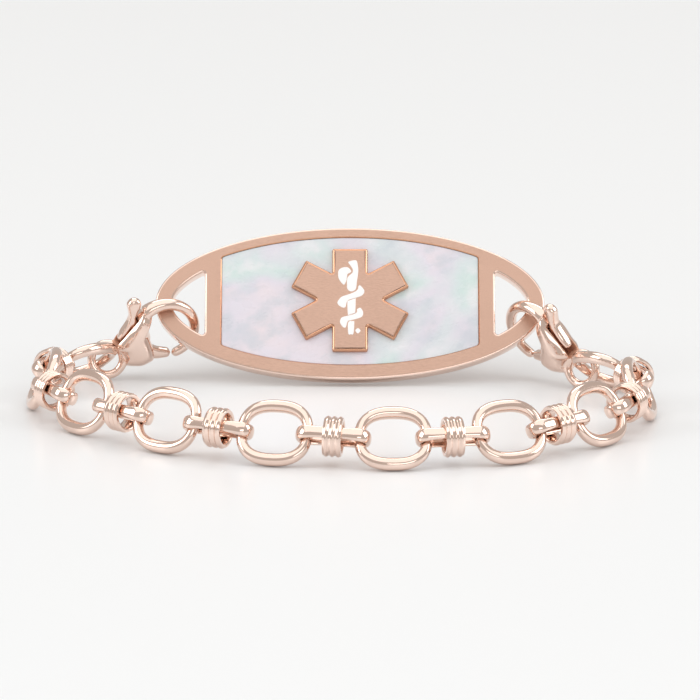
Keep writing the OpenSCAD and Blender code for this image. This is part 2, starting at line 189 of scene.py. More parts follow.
class ClaspSizes(bpy.types.PropertyGroup):
    """Sizes of the two clasps, in millimetres, and their turns."""

    clasp_t: length("Clasp thickness", "Thickness of a clasp's body at its middle", 3.8)
    slot_w: length("Slot", "Width of the room for the lever", 1.6)
    lever_t: length("Lever", "Thickness of the lever", 1.4)
    hook_r: length("Hook radius", "Radius of the hook along its wire", 3.35)
    hook_wire: length("Hook wire", "Diameter of the hook's wire", 1.25)
    eye_r: length("Eye radius", "Radius of the eye outside", 2.0)
    eye_wire: length("Eye wire", "Diameter of the eye's wire", 0.7)
    eye_twist: angle_size("Eye twist", "Twist of the eye out of the clasp's plane", 32)
    left_turn: turn_size("Left turn", "Yaw, pitch and roll of the left clasp", (7, 22, 20))
    right_turn: turn_size(
        "Right turn", "Yaw, pitch and roll of the right clasp, mirrored", (38, 22, 22)
    )
    grain: length("Casting grain", "Size of the cells that the castings are smoothed from", 0.065)


class StageLook(bpy.types.PropertyGroup):
    """Camera and colours of the stage."""

    elevation: angle_size("Camera elevation", "Height of the camera above the horizon", 14.2)
    distance: bpy.props.FloatProperty(
        name="Camera distance", description="Distance of the camera", default=0.5, unit="LENGTH"
    )
    floor: bpy.props.FloatVectorProperty(
        name="Floor",
        description="Colour of the floor",
        default=(0.83, 0.85, 0.865),
        subtype="COLOR",
        min=0,
        max=1,
    )


# Node trees, written as expressions


class Socket:
    """An output in a node tree, on which Python's operators add Math nodes."""

    def __init__(self, nodes, link):
        self.nodes, self.link = nodes, link

    def _math(self, operation, *values):
        return self.nodes.node("ShaderNodeMath", {"operation": operation}, *values)

    def __add__(self, other):
        return self._math("ADD", self, other)

    def __sub__(self, other):
        return self._math("SUBTRACT", self, other)

    def __rsub__(self, other):
        return self._math("SUBTRACT", other, self)

    def __mul__(self, other):
        return self._math("MULTIPLY", self, other)

    def __rtruediv__(self, other):
        return self._math("DIVIDE", other, self)

    __radd__ = __add__
    __rmul__ = __mul__

    def signed_power(self, power):
        """The value's size to a power, with the value's sign."""
        return self._math("SIGN", self) * self._math("POWER", self._math("ABSOLUTE", self), power)

    def clipped(self, low, high):
        """0 below low and 1 above high, with a smooth step between."""
        return self.nodes.node(
            "ShaderNodeMapRange",
            {"interpolation_type": "SMOOTHSTEP"},
            Value=self,
            From_Min=low,
            From_Max=high,
        )


class Nodes:
    """A node tree, and how nodes are added to it."""

    def __init__(self, tree):
        self.tree = tree

    def feed(self, socket, value):
        """Links or sets one input."""
        if isinstance(value, Socket):
            self.tree.links.new(value.link, socket)
        elif socket.type == "RGBA" and len(value) == 3:
            socket.default_value = (*value, 1)
        else:
            socket.default_value = value

    def node(self, kind, settings=None, *values, out=0, **named):
        """Adds a node: its settings first, then its inputs by order or by name."""
        node = self.tree.nodes.new(kind)
        for key, value in (settings or {}).items():
            if key == "stops":
                ramp = node.color_ramp
                for place, colour in value[1:-1]:
                    ramp.elements.new(place).color = (*colour, 1)
                ends = (ramp.elements[0], value[0]), (ramp.elements[-1], value[-1])
                for element, (place, colour) in ends:
                    element.position, element.color = place, (*colour, 1)
            else:
                setattr(node, key, value)
        for socket, value in zip(node.inputs, values):
            self.feed(socket, value)
        for key, value in named.items():
            self.feed(node.inputs[key.replace("_", " ")], value)
        return Socket(self, node.outputs[out])


class Shader(Nodes):
    """A material with one Principled surface, and the nodes that feed it."""

    def __init__(self, name, **look):
        self.material = bpy.data.materials.new(name)
        self.material.use_nodes = True
        super().__init__(self.material.node_tree)
        self.surface = self.tree.nodes["Principled BSDF"]
        self.set(**look)

    def set(self, **look):
        """Sets or links the surface's inputs, named with _ for a space."""
        for key, value in look.items():
            self.feed(self.surface.inputs[key.replace("_", " ")], value)
        return self

    def place(self, turn=(0, 0, 0), scale=(1, 1, 1), centre=(0, 0, 0)):
        """Object coordinates, centred and turned, then stretched."""
        at = self.node("ShaderNodeTexCoord", out="Object")
        at = self.node(
            "ShaderNodeMapping",
            {"vector_type": "TEXTURE"},
            Vector=at,
            Location=centre,
            Rotation=turn,
        )
        return self.node("ShaderNodeMapping", Vector=at, Scale=scale)

    def noise(self, at, scale, detail=2, **more):
        """Noise in cells of 1 / scale metres."""
        return self.node("ShaderNodeTexNoise", Vector=at, Scale=scale, Detail=detail, **more)

    def mix(self, factor, a, b):
        """Mixes two colours."""
        node = self.tree.nodes.new("ShaderNodeMix")
        node.data_type = "RGBA"
        for index, value in ((0, factor), (6, a), (7, b)):
            self.feed(node.inputs[index], value)
        return Socket(self, node.outputs[2])

    def relief(self, height, depth):
        """A bump of the given depth in metres, as the surface's normal."""
        return self.set(Normal=self.node("ShaderNodeBump", Height=height, Distance=depth))


class Grove(Nodes):
    """A Geometry Nodes tree: it takes points and inputs of one kind, with these names."""

    def __init__(self, name, kind, *names):
        super().__init__(bpy.data.node_groups.new(name, "GeometryNodeTree"))
        add = self.tree.interface.new_socket
        add("Geometry", in_out="OUTPUT", socket_type="NodeSocketGeometry")
        add("Geometry", in_out="INPUT", socket_type="NodeSocketGeometry")
        self.keys = {
            name: add(name, in_out="INPUT", socket_type=kind).identifier for name in names
        }
        outputs = self.tree.nodes.new("NodeGroupInput").outputs
        self.given = [Socket(self, output) for output in outputs[: len(names) + 1]]

    def on_points(self, shape, finish):
        """Sets a shape, made in millimetres, on every point, and ends the tree."""
        turn = self.node(
            "GeometryNodeInputNamedAttribute", {"data_type": "FLOAT_VECTOR"}, Name="turn"
        )
        shapes = self.node(
            "GeometryNodeInstanceOnPoints",
            Points=self.given[0],
            Instance=shape,
            Rotation=self.node("FunctionNodeEulerToRotation", Euler=turn),
            Scale=(MM, MM, MM),
        )
        real = self.node("GeometryNodeRealizeInstances", Geometry=shapes)
        real = self.node("GeometryNodeSetShadeSmooth", Geometry=real)
        done = self.node("GeometryNodeSetMaterial", Geometry=real, Material=material(finish))
        self.tree.links.new(done.link, self.tree.nodes.new("NodeGroupOutput").inputs[0])
        return self


# Finishes


def polished_rose_gold():
    """Mirror-polished plate, with a faint cloudiness from handling."""
    shader = Shader("polished_rose_gold", Metallic=1.0, Base_Color=(0.86, 0.67, 0.58))
    cloud = shader.noise(shader.place(), 350, 3)
    return shader.set(Roughness=0.07 + 0.06 * cloud).material


def deep_rose_gold():
    """Polished bevels of the star and the pocket, in a darker tone of the plate that paints the
    shade on them.
    """
    return Shader(
        "deep_rose_gold", Metallic=1.0, Base_Color=(0.66, 0.36, 0.23), Roughness=0.16
    ).material


def hollow_rose_gold():
    """Unpolished plate on the walls of the room inside a clasp, in a darker brown that paints the
    shade in the room.
    """
    return Shader(
        "hollow_rose_gold", Metallic=0.3, Base_Color=(0.72, 0.40, 0.27), Roughness=0.55
    ).material


def satin_rose_gold():
    """Satin plate, drawn along the plaque's length and, at its ends, across it."""
    lean, centre = plaque_lie()
    shader = Shader("satin_rose_gold", Metallic=1.0)
    turn = (-lean, 0, 0)
    ends_from, ends_to = 0.0148, 0.0156
    along = shader.noise(shader.place(turn=turn, scale=(0.3, 1, 1)), 8000, 3)
    across = shader.noise(shader.place(turn=turn, scale=(1, 0.3, 1)), 8000, 3)
    x = shader.node("ShaderNodeSeparateXYZ", None, shader.place(centre=centre))
    ends = (x * x).clipped(ends_from**2, ends_to**2)
    lines = across * ends + along * (1 - ends)
    patches = shader.noise(shader.place(), 180, 2)
    tone = (lines * 0.7 + patches * 0.3).clipped(0.3, 0.7)
    shader.set(
        Base_Color=shader.mix(tone, (0.595, 0.39, 0.302), (0.665, 0.44, 0.343)),
        Roughness=0.30 + 0.14 * lines,
    )
    return shader.relief(lines, 0.000015).material


def shell():
    """Mother-of-pearl: pale, with drifting clouds of lavender, pink, mint and grey."""
    lean, centre = plaque_lie()
    shader = Shader("mother_of_pearl", IOR=1.55)
    at = shader.place(turn=(-lean, 0, 0.25), scale=(0.7, 1.5, 1), centre=centre)
    drift = shader.noise(at, 110, 4, Distortion=1.2)
    tint = shader.noise(at, 120, 2, Distortion=1.0, Roughness=0.4)
    veins = shader.noise(shader.place(turn=(-lean, 0, 0.5), scale=(0.4, 1.6, 1)), 420, 6)
    fine = shader.noise(shader.place(turn=(-lean, 0, 0.3), scale=(0.35, 1.6, 1)), 900, 5)
    colour = shader.node(
        "ShaderNodeValToRGB",
        {
            "stops": [
                (0.32, (0.58, 0.73, 0.70)),
                (0.43, (0.65, 0.73, 0.75)),
                (0.50, (0.69, 0.71, 0.76)),
                (0.57, (0.73, 0.70, 0.78)),
                (0.68, (0.79, 0.71, 0.76)),
            ]
        },
        tint,
    )
    wisps = (drift * 0.45 + veins * 0.55).clipped(0.50, 0.63)
    colour = shader.mix(wisps * 0.55, colour, (0.53, 0.59, 0.65))
    bands = (1 - drift * 0.6 - veins * 0.4).clipped(0.50, 0.63)
    colour = shader.mix(bands * 0.7, colour, (0.84, 0.82, 0.86))
    shader.set(Base_Color=colour, Roughness=0.22 + 0.12 * fine, Coat_Weight=0.35)
    shader.surface.inputs["Coat Roughness"].default_value = 0.08
    return shader.material


def white_enamel():
    """Glossy hard enamel."""
    return Shader(
        "white_enamel", Base_Color=(0.95, 0.95, 0.95), Roughness=0.25, Coat_Weight=0.2
    ).material


def plaque_lie():
    """Lean of the plaque and the middle of its inlay, which its patterns follow."""
    return bpy.context.scene.bracelet_plaque.lean, middle_of("pearl_inlay").to_tuple()


FINISHES = (
    polished_rose_gold,
    deep_rose_gold,
    hollow_rose_gold,
    satin_rose_gold,
    shell,
    white_enamel,
)
POLISHED, SHADED_BEVEL, SHADED_ROOM, SATIN, SHELL, ENAMEL = (finish.__name__ for finish in FINISHES)
MADE = {}


def material(name):
    """The finish of that name, made when it is first asked for."""
    if name not in MADE:
        MADE[name] = next(finish for finish in FINISHES if finish.__name__ == name)()
    return MADE[name]


def middle_of(node):
    """Middle of a node's box."""
    low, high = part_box(node)
    return (Vector(low) + Vector(high)) / 2


# Meshes


def make(name, slots, vertices, faces, marks=None, sharp=None):
    """An object from plain lists, shaded smooth, with one material slot for each name."""
    mesh = bpy.data.meshes.new(name)
    mesh.from_pydata([tuple(v) for v in vertices], [], [tuple(f) for f in faces])
    for slot in slots:
        mesh.materials.append(material(slot))
    if marks is not None:
        mesh.polygons.foreach_set("material_index", marks)
    mesh.shade_smooth()
    if sharp is not None:
        mesh.set_sharp_from_angle(angle=math.radians(sharp))
    mesh.validate()
    piece = bpy.data.objects.new(name, mesh)
    bpy.context.scene.collection.objects.link(piece)
    return piece


def dress(piece, body, slot, *nodes):
    """Puts a finished piece on its body, in place of CAD nodes."""
    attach(piece, body)
    if nodes:
        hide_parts(*nodes)
    return piece


def moved(vertices, where):
    """Vertices in millimetres in a piece's own frame, put in place in metres."""
    spots = np.c_[np.array(vertices, float), np.ones(len(vertices))]
    return (spots @ np.array(where).T)[:, :3]


def ring_normals(outline):
    """Outward side of each corner of a closed counter-clockwise outline, mitred."""
    points = np.array(outline, float)
    edge = np.roll(points, -1, axis=0) - points
    edge /= np.linalg.norm(edge, axis=1)[:, None]
    side = np.c_[edge[:, 1], -edge[:, 0]]
    before = np.roll(side, 1, axis=0)
    both = side + before
    both /= np.maximum(np.linalg.norm(both, axis=1), 1e-9)[:, None]
    # A sharp corner's mitre is held short
    least = 0.35
    return both / np.maximum((both * side).sum(axis=1), least)[:, None]


class Plate:
    """A flat piece: contours with bevelled edges, and the faces between them.

    A contour is a closed outline with a profile, a list of (grow, z) steps from
    its top to its bottom, where grow moves it outwards.
    """

    def __init__(self):
        self.vertices, self.faces, self.marks = [], [], []
        self.tops, self.bottoms = [], []

    def contour(self, outline, profile, hole=False, floor=False, marks=None):
        """Adds the wall of one contour, and says which faces end on it."""
        outline = [tuple(p) for p in outline]
        out = ring_normals(outline)
        count, rings = len(outline), []
        for grow, z in profile:
            rings.append(len(self.vertices))
            flat = np.array(outline) + out * grow
            self.vertices += [(x, y, z) for x, y in flat]
        for step, (upper, lower) in enumerate(zip(rings, rings[1:])):
            for k in range(count):
                after = (k + 1) % count
                face = [upper + k, lower + k, lower + after, upper + after]
                self.faces.append(face[::-1] if hole else face)
                self.marks.append(marks[step] if marks else 0)
        self.tops.append((rings[0], count))
        if floor:
            self._fill([(rings[-1], count)], up=True)
        else:
            self.bottoms.append((rings[-1], count))
        return self

    def _fill(self, loops, up):
        work = bmesh.new()
        index, edges = {}, []
        for first, count in loops:
            ring = []
            for k in range(first, first + count):
                corner = work.verts.new(self.vertices[k])
                index[corner] = k
                ring.append(corner)
            edges += [work.edges.new((a, b)) for a, b in zip(ring, ring[1:] + ring[:1])]
        bmesh.ops.triangle_fill(work, use_beauty=True, edges=edges)
        for face in work.faces:
            face.normal_update()
            corners = [index[v] for v in face.verts]
            if (face.normal.z > 0) != up:
                corners.reverse()
            self.faces.append(corners)
            self.marks.append(0)
        work.free()

    def closed(self, apart=False):
        """Fills the top and the bottom faces, of each contour by itself if apart."""
        for loops, up in ((self.tops, True), (self.bottoms, False)):
            for some in [[loop] for loop in loops] if apart else [loops]:
                if some:
                    self._fill(some, up)
        return self

    def piece(self, name, slots, where):
        return make(name, slots, moved(self.vertices, where), self.faces, self.marks, sharp=40)


def edge_profile(top, bottom, edge, steps=4, both=True):
    """Steps of a wall with a quarter-round at its top, and at its bottom too."""
    turns = [math.pi / 2 * k / steps for k in range(steps + 1)]
    upper = [(edge * math.sin(a) - edge, top + edge * math.cos(a) - edge) for a in turns]
    hold = [(-edge * 1.25, top)]
    if not both:
        return hold + upper + [(0, bottom)]
    lower = [(g, top + bottom - z) for g, z in reversed(hold + upper)]
    return hold + upper + lower


def spline(a, b, c, d, t):
    """A point at the share t of the way from b to c, on a smooth curve through all four."""
    return 0.5 * (
        2 * b + (c - a) * t + (2 * a - 5 * b + 4 * c - d) * t**2 + (3 * b - a - 3 * c + d) * t**3
    )


def bands(rings, count, closed=True, flip=False):
    """Faces between each ring of count corners and the next, and back to the first."""
    faces = []
    for i in range(rings if closed else rings - 1):
        a, b = i * count, (i + 1) % rings * count
        for k in range(count):
            m = (k + 1) % count
            face = (a + k, a + m, b + m, b + k)
            faces.append((face[0], *face[:0:-1]) if flip else face)
    return faces


def sweep(rows, sides=20, closed=True, square=2.0):
    """Wire along rows of a point, two directions across the wire and a radius.

    A section is round when square is 2, and squarer above it.
    """
    turns = [2 * math.pi * k / sides for k in range(sides)]
    section = [
        [math.copysign(abs(v) ** (2 / square), v) for v in (math.cos(a), math.sin(a))]
        for a in turns
    ]
    vertices, count = [], len(rows)
    for at, across, up, r in rows:
        vertices += [at + across * (r * x) + up * (r * y) for x, y in section]
    faces = bands(count, sides, closed)
    if not closed:
        faces.append(tuple(range(sides))[::-1])
        faces.append(tuple(range((count - 1) * sides, count * sides)))
    return vertices, faces


def join_parts(*parts):
    """One list of vertices and faces from several."""
    vertices, faces = [], []
    for some, more in parts:
        base = len(vertices)
        vertices += [tuple(v) for v in some]
        faces += [tuple(base + k for k in face) for face in more]
    return vertices, faces


# Like pieces set out along the chain


def rows_of(places):
    """A mesh of bare points, each with the turn of the piece that goes there."""
    mesh = bpy.data.meshes.new("rows")
    mesh.from_pydata([tuple(place.translation) for place in places], [], [])
    turns = mesh.attributes.new("turn", "FLOAT_VECTOR", "POINT")
    for row, place in zip(turns.data, places):
        row.vector = place.to_3x3().normalized().to_euler("XYZ")
    return mesh


def grown(name, places, grove, values):
    """The plain mesh that a tree makes on the given places."""
    carrier = bpy.data.objects.new(name + "_rows", rows_of(places))
    bpy.context.scene.collection.objects.link(carrier)
    modifier = carrier.modifiers.new("rows", "NODES")
    modifier.node_group = grove.tree
    for key, value in values.items():
        modifier[grove.keys[key]] = value
    bpy.context.view_layer.update()
    seen = carrier.evaluated_get(bpy.context.evaluated_depsgraph_get())
    mesh = bpy.data.meshes.new_from_object(seen)
    mesh.name = name
    bpy.data.objects.remove(carrier)
    piece = bpy.data.objects.new(name, mesh)
    bpy.context.scene.collection.objects.link(piece)
    return piece


def oval_grove():
    """Tree of an oval link: a ring of wire, thicker along its sides than at its ends."""
    grove = Grove(
        "oval_links", "NodeSocketFloat", "Length", "Height", "End wire", "Side wire", "Squareness"
    )
    _, long, high, end_wire, side_wire, square = grove.given
    circle, profile = (
        grove.node(
            "GeometryNodeCurvePrimitiveCircle", {"mode": "RADIUS"}, Resolution=count, Radius=1.0
        )
        for count in (128, 28)
    )
    at = grove.node("GeometryNodeInputPosition")
    split = grove.node("ShaderNodeSeparateXYZ", None, at).link.node
    x, y = (Socket(grove, split.outputs[k]) for k in (0, 1))
    power = 2.0 / square
    reach = (long - end_wire) * 0.5
    rise = (high - side_wire) * 0.5
    # The wire thickens with the square of the way up the side
    wire = end_wire + y * y * (side_wire - end_wire)
    thick = grove.node("GeometryNodeSetCurveRadius", Curve=circle, Radius=wire * 0.5)
    spot = grove.node(
        "ShaderNodeCombineXYZ", None, x.signed_power(power) * reach, y.signed_power(power) * rise
    )
    path = grove.node("GeometryNodeSetPosition", Geometry=thick, Position=spot)
    radius = grove.node("GeometryNodeInputRadius")
    ring = grove.node(
        "GeometryNodeCurveToMesh", Curve=path, Profile_Curve=profile, Scale=radius
    )
    return grove.on_points(ring, POLISHED)


def copies_grove(name):
    """Tree that sets a finished shape on every point."""
    grove = Grove(name, "NodeSocketObject", "Shape")
    shape = grove.node("GeometryNodeObjectInfo", out="Geometry", Object=grove.given[1])
    return grove.on_points(shape, POLISHED)


def set_out(name, part, places):
    """Copies of a part, given as vertices and faces in millimetres, on all places."""
    model = make(name + "_model", [POLISHED], *part)
    piece = grown(name, places, copies_grove(name), {"Shape": model})
    bpy.data.objects.remove(model)
    piece.data.set_sharp_from_angle(angle=math.radians(50))
    return piece


# Plaque


def rim_point(sizes, angle, inset):
    """A point of the curve that runs inside the plaque's outline, parallel to it."""
    a, b = sizes.plaque_l / 2, sizes.plaque_h / 2
    out = Vector((math.cos(angle) / a, math.sin(angle) / b)).normalized()
    return Vector((a * math.cos(angle), b * math.sin(angle))) - out * inset


def crossing(sizes, x, inset):
    """Angle at which that curve crosses the upright line at x."""
    low, high = 0.0, math.pi / 2
    for _ in range(30):
        middle = (low + high) / 2
        if rim_point(sizes, middle, inset).x > x:
            low = middle
        else:
            high = middle
    return low


def rounded(points, radii, steps=6):
    """A closed outline with the corner of each point rounded to its radius."""
    outline, count = [], len(points)
    for k, radius in enumerate(radii):
        at = Vector(points[k])
        before, after = Vector(points[k - 1]), Vector(points[(k + 1) % count])
        if radius <= 0:
            outline.append(at)
            continue
        u, v = (before - at).normalized(), (after - at).normalized()
        half = u.angle(v) / 2
        reach = min(radius / math.tan(half), 0.49 * min((before - at).length, (after - at).length))
        radius = reach * math.tan(half)
        middle = at + (u + v).normalized() * radius / math.sin(half)
        start = at + u * reach - middle
        side = -1 if u.x * v.y - u.y * v.x > 0 else 1
        sweep_angle = (math.pi - 2 * half) * side
        for step in range(steps + 1):
            turn = Matrix.Rotation(sweep_angle * step / steps, 2)
            outline.append(middle + turn @ start)
    return outline


def slot_outline(sizes):
    """Right slot, shaped like a D, counter-clockwise."""
    x = sizes.inlay_half + sizes.bar_w
    end = crossing(sizes, x, sizes.slot_rim)
    # The curve stops short of the corners, which are rounded
    curve = [rim_point(sizes, end * k / 14, sizes.slot_rim) for k in range(-12, 13)]
    corner = rim_point(sizes, end, sizes.slot_rim)
    points = curve + [Vector((x, corner.y)), Vector((x, -corner.y))]
    radii = [0] * len(curve) + [sizes.slot_corner] * 2
    return rounded(points, radii)


# Clearance under each plate that lies on another
BED = 0.02


def inlay_outline(sizes, gap, corner=0.35):
    """Outline of the shell inlay, drawn in by a gap, counter-clockwise."""
    start = crossing(sizes, sizes.inlay_half, sizes.inlay_rim)
    arc = [
        rim_point(sizes, start + (math.pi - 2 * start) * k / 40, sizes.inlay_rim + gap)
        for k in range(41)
    ]
    limit = sizes.inlay_half - gap
    arc = [Vector((max(-limit, min(limit, p.x)), p.y)) for p in arc]
    points = arc + [-p for p in arc]
    radii = [corner if k in (0, 40, 41, 81) else 0 for k in range(82)]
    return [p + Vector((0, sizes.inlay_rise)) for p in rounded(points, radii, 4)]


def plaque_place(sizes):
    """Placement of the plaque's middle: Z out of its face, Y up the face."""
    middle = middle_of("plaque")
    up = Vector((0, math.sin(sizes.lean), math.cos(sizes.lean)))
    return placement(middle, Vector((1, 0, 0)), up)


class BRACELET_OT_plaque(bpy.types.Operator):
    """Makes the plaque, with its slots, its pocket and polished edges"""

    bl_idname = "bracelet.plaque"
    bl_label = "Plaque"

    def execute(self, context):
        sizes = context.scene.bracelet_plaque
        top, edge = sizes.plaque_t / 2, sizes.edge
        wall = edge_profile(top, -top, edge)
        around = 192
        outer = [rim_point(sizes, 2 * math.pi * k / around, 0) for k in range(around)]
        plate = Plate()
        polish = [0] + [1] * (len(wall) - 3) + [0]
        plate.contour(outer, wall, marks=polish)
        right = slot_outline(sizes)
        left = [Vector((-p.x, p.y)) for p in reversed(right)]
        for outline in (right, left):
            plate.contour(outline, [(-g, z) for g, z in wall], hole=True, marks=polish)
        lip = edge * 0.5
        pocket = [(lip * 1.3, top), (lip, top), (0, top - lip), (0, top - sizes.pocket_d)]
        # The pocket's lip and wall take the darker bevel finish, which paints shade on them
        plate.contour(inlay_outline(sizes, 0), pocket, hole=True, floor=True, marks=[0, 2, 2])
        plate.closed()
        piece = plate.piece(
            "plaque_plate",
            [SATIN, POLISHED, SHADED_BEVEL],
            plaque_place(sizes),
        )
        dress(piece, "bracelet", SATIN, "plaque")
        return {"FINISHED"}


class BRACELET_OT_inlay(bpy.types.Operator):
    """Makes the mother-of-pearl inlay"""

    bl_idname = "bracelet.inlay"
    bl_label = "Shell inlay"

    def execute(self, context):
        sizes = context.scene.bracelet_plaque
        bottom = sizes.plaque_t / 2 - sizes.pocket_d + BED
        wall = edge_profile(bottom + sizes.inlay_t, bottom, 0.05, 2)
        gap = 0.03
        plate = Plate().contour(inlay_outline(sizes, gap), wall).closed()
        piece = plate.piece("shell_plate", [SHELL], plaque_place(sizes))
        dress(piece, "bracelet", SHELL, "pearl_inlay")
        return {"FINISHED"}


def star_outline(sizes):
    """Six-armed star of three crossed bars, counter-clockwise."""
    upright = (sizes.star_l / 2, sizes.star_bar / 2)
    sloping = (sizes.side_l / 2, sizes.side_bar / 2)
    up, turn = math.pi / 2, sizes.side_turn
    arms = [(up - turn, *sloping), (up, *upright), (up + turn, *sloping)]
    arms += [(angle + math.pi, *sizes) for angle, *sizes in arms]
    points, radii = [], []
    for (angle, long, half), (after, _, beside) in zip(arms, arms[1:] + arms[:1]):
        along = Vector((math.cos(angle), math.sin(angle)))
        side = Vector((-along.y, along.x))
        # The sides of this arm and of the next one meet in the notch between them
        step = (after - angle) % (2 * math.pi)
        notch = (half * math.cos(step) + beside) / math.sin(step)
        points += [along * long - side * half, along * long + side * half]
        points.append(along * notch + side * half)
        radii += [0.2, 0.2, 0.1]
    return rounded(points, radii, 5)


# Outlines of the enamel's parts on the star, x to the right and y up from its middle
FIGURE = {
    "head": [(-1.3, 3.5), (-0.8, 3.85), (-0.25, 3.85), (0.1, 3.5), (0.1, 3.25), (-0.25, 3.05),
             (-0.35, 2.65), (-0.45, 2.15), (-0.7, 1.75), (-1.1, 2.15), (-1.35, 2.7)],
    "staff top": [(-0.2, 4.5), (0.4, 4.7), (0.75, 4.65), (0.9, 4.1), (0.95, 3.3), (0.8, 2.15),
                  (0.7, 1.35), (0.5, 1.05), (0.05, 0.95), (-0.3, 1.25), (-0.35, 1.75),
                  (-0.3, 2.6), (0.25, 3.2), (0.3, 3.6), (0.05, 4.05)],
    "upper coil": [(1.15, 1.7), (1.6, 1.15), (1.6, 0.75), (1.35, 0.45), (0.9, 0.25), (0.05, 0),
                   (-0.25, -0.15), (-0.4, -0.45), (-0.5, -0.9), (-0.8, -1), (-1.25, -0.75),
                   (-1.45, -0.4), (-1.25, 0), (-0.9, 0.35), (-0.05, 0.65), (0.6, 0.95),
                   (0.9, 1.25), (0.95, 1.55)],
    "staff middle": [(-0.3, -0.3), (-0.15, -0.15), (0.55, 0.1), (0.65, 0), (0.6, -1.6),
                     (0.5, -1.65), (-0.1, -1.85), (-0.25, -1.75)],
    "lower coil": [(1.15, -1), (1.45, -1.35), (1.5, -1.75), (1.35, -2.1), (0.9, -2.3),
                   (0.15, -2.5), (-0.2, -2.6), (-0.35, -2.9), (-0.45, -3.3), (-0.7, -3.4),
                   (-1, -3.1), (-1.15, -2.7), (-1.05, -2.3), (-0.8, -2.1), (-0.05, -1.9),
                   (0.6, -1.7), (0.8, -1.45), (0.8, -1.2)],
    "staff foot": [(-0.2, -2.75), (0.4, -2.6), (0.5, -2.75), (0.4, -4.1), (0.1, -4.2),
                   (-0.2, -4.1)],
    "tail": [(0.9, -3.45), (0.6, -3.75), (0.9, -4.1), (1.2, -3.75)],
}


def closed_curve(points, steps=5):
    """A smooth closed curve through the points, counter-clockwise."""
    rows = np.array(points, float)
    corners = [np.roll(rows, shift, 0)[:, None, :] for shift in (1, 0, -1, -2)]
    curve = spline(*corners, (np.arange(steps) / steps)[None, :, None]).reshape(-1, 2)
    x, y = curve.T
    area = (x * np.roll(y, -1) - y * np.roll(x, -1)).sum()
    return [Vector(p) for p in (curve if area > 0 else curve[::-1])]


def star_place(sizes):
    """Placement of the star's middle, with Z = 0 at its back."""
    lift = sizes.plaque_t / 2 - sizes.pocket_d + BED + sizes.inlay_t + BED
    return plaque_place(sizes) @ Matrix.Translation((0, sizes.inlay_rise, lift))


class BRACELET_OT_emblem(bpy.types.Operator):
    """Makes the raised star and the white enamel staff and serpent on it"""

    bl_idname = "bracelet.emblem"
    bl_label = "Star and serpent"

    def execute(self, context):
        sizes = context.scene.bracelet_plaque
        wall = edge_profile(sizes.star_t, 0, sizes.star_edge, 4, both=False)
        # The star's bevel and sides take the darker bevel finish, which paints shade on them
        polish = [0] + [1] * (len(wall) - 2)
        star = Plate().contour(star_outline(sizes), wall, marks=polish).closed()
        piece = star.piece(
            "star_plate", [SATIN, SHADED_BEVEL], star_place(sizes)
        )
        dress(piece, "bracelet", SATIN, "star_emblem")
        enamel = Plate()
        proud, edge = 0.02, 0.04
        face = sizes.star_t + proud
        wall = edge_profile(face, face - sizes.enamel_d, edge, 3, both=False)
        for points in FIGURE.values():
            enamel.contour(closed_curve(points), wall)
        piece = enamel.closed(apart=True).piece(
            "enamel_figure", [ENAMEL], star_place(sizes)
        )
        dress(piece, "bracelet", ENAMEL, "staff_and_serpent")
        return {"FINISHED"}


# Chain


class BRACELET_OT_links(bpy.types.Operator):
    """Makes the oval wire links"""

    bl_idname = "bracelet.links"
    bl_label = "Oval links"

    def execute(self, context):
        sizes = context.scene.bracelet_chain
        values = {
            "Length": sizes.oval_l,
            "Height": sizes.oval_h,
            "End wire": sizes.wire_end,
            "Side wire": sizes.wire_side,
            "Squareness": sizes.squareness,
        }
        piece = grown("oval_wires", [lie_of(node) for node in OVALS], oval_grove(), values)
        dress(piece, "bracelet", POLISHED, *OVALS)
        return {"FINISHED"}


def strap_part(sizes):
    """One strap: a band bent into a long loop, domed outside and widest at its ends."""
    # The band flares from here on, over this length, and thickens by this share
    flare_from, flare_l, thicker = 1.4, 1.8, 0.45
    # Shares of the band's thickness outside and inside its middle
    dome_out, dome_in = 0.65, 0.35
    round_x = (sizes.strap_l - sizes.strap_d) / 2
    bend_steps, side_steps = 24, 12
    path, out = [], []
    for side in (1, -1):
        for k in range(bend_steps + 1):
            angle = math.pi * k / bend_steps - math.pi / 2
            turn = Vector((math.cos(angle), math.sin(angle), 0)) * side
            path.append(Vector((round_x * side, 0, 0)))
            out.append(turn)
        for k in range(1, side_steps):
            path.append(Vector((round_x * side * (1 - 2 * k / side_steps), 0, 0)))
            out.append(Vector((0, side, 0)))
    vertices, count = [], 20
    for at, o in zip(path, out):
        spot = at + o * sizes.strap_d / 2
        flare = min(1, max(0, (abs(spot.x) - flare_from) / flare_l))
        flare = flare * flare * (3 - 2 * flare)
        width = sizes.strap_waist + (sizes.strap_w - sizes.strap_waist) * flare
        depth = sizes.strap_t * (1 + thicker * flare)
        # The dome runs from one side of the band to the other, and a flatter
        # curve closes it inside
        for k in range(count):
            angle = 2 * math.pi * k / count
            rise = math.sin(angle)
            u = rise * depth * (dome_out if rise > 0 else dome_in) - depth * dome_out
            w = math.copysign(abs(math.cos(angle)) ** 0.8, math.cos(angle)) * width / 2
            vertices.append(spot + o * u + Vector((0, 0, w)))
    return vertices, bands(len(path), count, flip=True)


class BRACELET_OT_straps(bpy.types.Operator):
    """Makes the flat strap loops that join the links"""

    bl_idname = "bracelet.straps"
    bl_label = "Straps"

    def execute(self, context):
        part = strap_part(context.scene.bracelet_chain)
        piece = set_out("strap_bands", part, [lie_of(node) for node in STRAPS])
        dress(piece, "bracelet", POLISHED, *STRAPS)
        return {"FINISHED"}


def lathe(profile, sides=64):
    """A closed profile of (x, r) points turned about X."""
    vertices = []
    for s in range(sides):
        angle = 2 * math.pi * s / sides
        vertices += [(x, r * math.cos(angle), r * math.sin(angle)) for x, r in profile]
    return vertices, bands(sides, len(profile))


